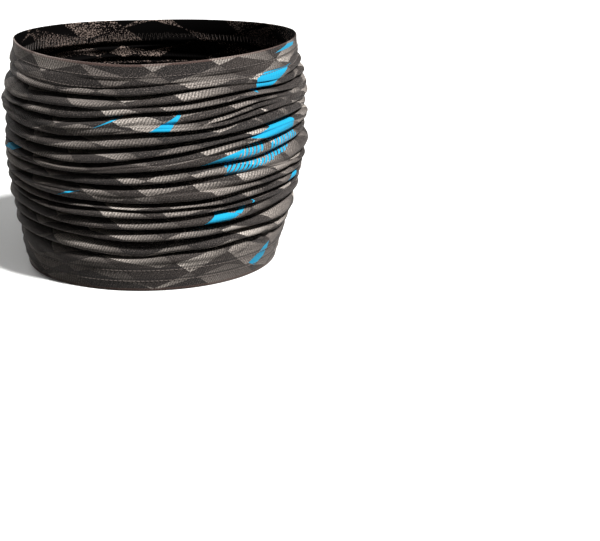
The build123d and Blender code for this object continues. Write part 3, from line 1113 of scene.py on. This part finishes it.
# the strip's cloth runs in and out of the creases, so its map is stretched by about this much
STRIP_FULLNESS = 3
seam_across = Vector((-math.sin(math.radians(SEAM_ANGLE)), math.cos(math.radians(SEAM_ANGLE)), 0))


def cloth_at(angle, distance):
    """The cloth's path at one angle, moved inwards from the printed side."""
    place = (angle + 180) / 360 * COLUMNS
    first, share = int(place), place - int(place)
    second = (first + 1) % COLUMNS
    path = printed[:, first] * (1 - share) + printed[:, second] * share
    facing = normals[:, first] * (1 - share) + normals[:, second] * share
    facing /= np.linalg.norm(facing, axis=1, keepdims=True)
    between_hems = slice(2 * HEM_POINTS + TURN_POINTS, len(path) - 2 * HEM_POINTS - TURN_POINTS)
    return (path - facing * distance)[between_hems]


def seam_allowance():
    """A flat two-layer strip that follows the inside of the cloth."""
    half_angle = math.degrees(ALLOWANCE_WIDTH / 2 / HEM_RADIUS)
    outer, inner = ALLOWANCE_LAYERS
    edges = ((-half_angle, outer), (half_angle, outer), (half_angle, inner), (-half_angle, inner))
    sides = [cloth_at(SEAM_ANGLE + turn, depth) for turn, depth in edges]
    rows = len(sides[0])
    points = np.stack(sides, axis=1).reshape(-1, 3)
    faces = [(4 * r + s, 4 * r + 4 + s, 4 * r + 4 + (s + 1) % 4, 4 * r + (s + 1) % 4)
             for r in range(rows - 1) for s in range(4)]
    faces += [(0, 1, 2, 3), tuple(4 * (rows - 1) + s for s in (3, 2, 1, 0))]
    mesh = bpy.data.meshes.new("side_seam_allowance_strip")
    mesh.from_pydata((points * MM).tolist(), [], faces)
    shape = bmesh.new()
    shape.from_mesh(mesh)
    bmesh.ops.recalc_face_normals(shape, faces=shape.faces)
    shape.to_mesh(mesh)
    shape.free()
    strip_map = mesh.uv_layers.new(name="cloth")
    places = np.array([mesh.vertices[loop.vertex_index].co for loop in mesh.loops])
    uv = np.stack([places @ np.array(seam_across), places[:, 2] * STRIP_FULLNESS], -1)
    strip_map.data.foreach_set("uv", uv.astype(np.float32).ravel())
    mesh.materials.append(tube.data.materials[1])
    return new_object("side_seam_allowance_strip", mesh)


allowance = seam_allowance()
print(f"{allowance.name}: {len(allowance.data.polygons)} faces")
values = {"Stitch length": OVERLOCK_STITCH * MM, "Thread radius": LOOPER_THREAD / 2 * MM,
          "Sideways": seam_across * OVERLOCK_REACH * MM, "Material": thread}
edge = cloth_at(SEAM_ANGLE, ALLOWANCE_LAYERS[1] + OVERLOCK_LIFT)
overlock = sew("side_seam_overlock_loops", edge, zigzag_thread, values, closed=False)

# %% [markdown]
# ## Joining the threads to the frame
# The gaiter draws out: its upper hem rises from the lower one. The threads ride with their own hem. The
# cloth, the seam allowance and the overlock thread keep their places and join no body, and the plain CAD
# parts they replace are hidden.

# %% Bodies
GATHERS = 11
gathers = [f"gather_{number:02d}" for number in range(1, GATHERS + 1)]
for node, (piece, body) in threads.items():
    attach(piece, body)
    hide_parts(node)
for piece in (tube, allowance, overlock):
    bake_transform(piece)
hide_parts("bottom_hem", "top_hem", *gathers)
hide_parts("side_seam_allowance")
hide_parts("side_seam_overlock_thread")

# %% [markdown]
# ## Floor, light and camera
# A pale floor, a key lamp high in front and to the right, a faint broad one above and a broad one behind,
# with very little light from the surroundings. Dark creases between bright rolls are what shows the
# gathers, so the key lamp is strong against all the others.

# %% Studio
FLOOR_REACH = 6.0
LAMP_TARGET = Vector((0, 0, 0.06))
# direction it shines from, how wide it looks in degrees, and strength
LAMPS = {
    "key_lamp": ((0.62, -0.6, 1.15), 7, 6.4),
    "top_lamp": ((0.1, -0.3, 1.0), 30, 0.3),
    "back_lamp": ((-0.5, 0.9, 0.6), 30, 1.5),
}
# the surroundings are seen white, but light the tube only faintly
LIGHT_ROUND_ABOUT, SEEN_BACKDROP = 0.07, 0.98


def pale_floor():
    """A wide matt floor under the tube."""
    mesh = bpy.data.meshes.new("pale_floor")
    corners = [(x * FLOOR_REACH, y * FLOOR_REACH, 0) for x, y in ((-1, -1), (1, -1), (1, 1), (-1, 1))]
    mesh.from_pydata(corners, [], [(0, 1, 2, 3)])
    material, _, shader = new_material("matt_white_paper", roughness=0.9, sheen=0.0, gloss=0.2)
    shader.inputs["Base Color"].default_value = linear("#f4f4f2")
    mesh.materials.append(material)
    return new_object("pale_floor", mesh)


def studio_lamp(name, place, softness, power):
    """A far lamp that shines from this direction."""
    lamp = bpy.data.lights.new(name, "SUN")
    lamp.angle = math.radians(softness)
    lamp.energy = power
    holder = new_object(name, lamp)
    holder.location = place
    holder.rotation_euler = (LAMP_TARGET - Vector(place)).to_track_quat("-Z", "Y").to_euler()


def soft_surroundings():
    """A world that is white to the camera and dim to everything else."""
    world = bpy.data.worlds.new("soft_studio")
    world.use_nodes = True
    tree = world.node_tree
    seen = add_node(tree, "ShaderNodeLightPath", output="Is Camera Ray")
    strength = add_node(tree, "ShaderNodeMapRange", {0: seen, 3: LIGHT_ROUND_ABOUT, 4: SEEN_BACKDROP})
    tree.links.new(strength, tree.nodes["Background"].inputs["Strength"])
    tree.nodes["Background"].inputs["Color"].default_value = (1, 1, 1, 1)
    return world


floor = pale_floor()
# the floor is seen, but throws no light back up under the rolls
floor.visible_diffuse = False
for name, settings in LAMPS.items():
    studio_lamp(name, *settings)
bpy.context.scene.world = soft_surroundings()
bpy.context.scene.view_settings.view_transform = "Standard"
print(len(LAMPS), "lamps")

# %% Camera
CAMERA_PLACE = (0.086, -0.8, 0.25)
LOOK_DOWN, LOOK_RIGHT = math.radians(18.1), math.radians(-0.3)
LENS, SENSOR = 85.6, 36.0
camera = bpy.data.cameras.new("camera")
camera.sensor_width = SENSOR
camera.lens = LENS
holder = new_object("camera", camera)
holder.location = CAMERA_PLACE
ahead = Vector((math.sin(LOOK_RIGHT), math.cos(LOOK_RIGHT), -math.tan(LOOK_DOWN)))
holder.rotation_euler = ahead.to_track_quat("-Z", "Y").to_euler()
bpy.context.scene.camera = holder
print(f"camera {-CAMERA_PLACE[1]:.1f} m in front, {LENS} mm lens")
